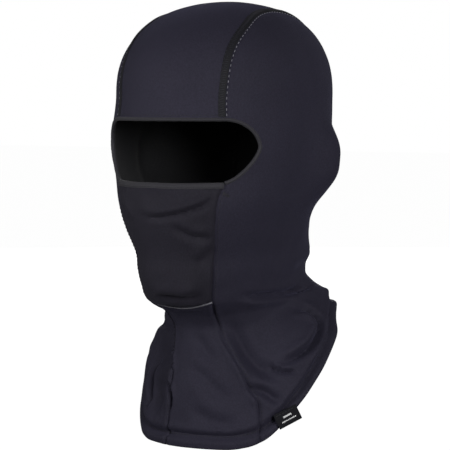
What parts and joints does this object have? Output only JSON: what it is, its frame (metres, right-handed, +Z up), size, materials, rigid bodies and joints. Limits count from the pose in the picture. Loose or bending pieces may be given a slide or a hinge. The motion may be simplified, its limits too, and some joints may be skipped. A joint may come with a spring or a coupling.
{
  "type": "balaclava",
  "caption": "Close-fitting full-face knitted hood with an eye opening, a sewn-in face mask and a neck skirt that hangs lower in front.",
  "frame": {"origin": "middle of the bottom of the bounding box; the front hem touches the plane z = 0", "axes": "+Z up, -Y the way the wearer faces, +X the wearer's left"},
  "size_m": [0.1778, 0.205, 0.331],
  "materials": {
    "outer_knit": "fine brushed double knit, soft sheen",
    "mask_knit": "fine knit, matte",
    "lining_mesh": "fine mesh knit",
    "edging": "folded stretch knit",
    "elastic": "covered flat elastic",
    "thread": "textured polyester thread",
    "woven_label": "woven satin",
    "satin_label": "printed satin, left blank"
  },
  "bodies": {
    "hood": {"crown_centre_panel": "outer_knit", "left_side_panel": "outer_knit", "right_side_panel": "outer_knit", "front_neck_panel": "outer_knit", "hem_fold": "outer_knit", "face_mask_panel": "mask_knit", "face_mask_lining": "lining_mesh", "mask_top_band": "edging", "eye_opening_binding": "edging", "chin_seam_piping": "edging", "mask_top_elastic": "elastic", "left_crown_flatlock_seam": "thread", "right_crown_flatlock_seam": "thread", "left_mask_seam_thread": "thread", "right_mask_seam_thread": "thread", "left_neck_seam_thread": "thread", "right_neck_seam_thread": "thread", "mask_band_stitch": "thread", "brow_binding_stitch": "thread", "hem_stitch_thread": "thread"},
    "hem_label_flap": {"hem_label": "woven_label", "hem_label_stitch": "thread"},
    "care_label_flap": {"care_label": "satin_label", "care_label_stitch": "satin_label"}
  },
  "joints": [
    {"name": "hem_label_flip", "type": "hinge", "parent": "hood", "child": "hem_label_flap", "pos_m": [0.06933, -0.02883, 0.02831], "axis": [-0.5986, -0.6909, -0.4054], "range_deg": [0, 120]},
    {"name": "care_label_flip", "type": "hinge", "parent": "hood", "child": "care_label_flap", "pos_m": [0, 0.06904, 0.152], "axis": [-1, 0, 0], "range_deg": [0, 80]}
  ]
}
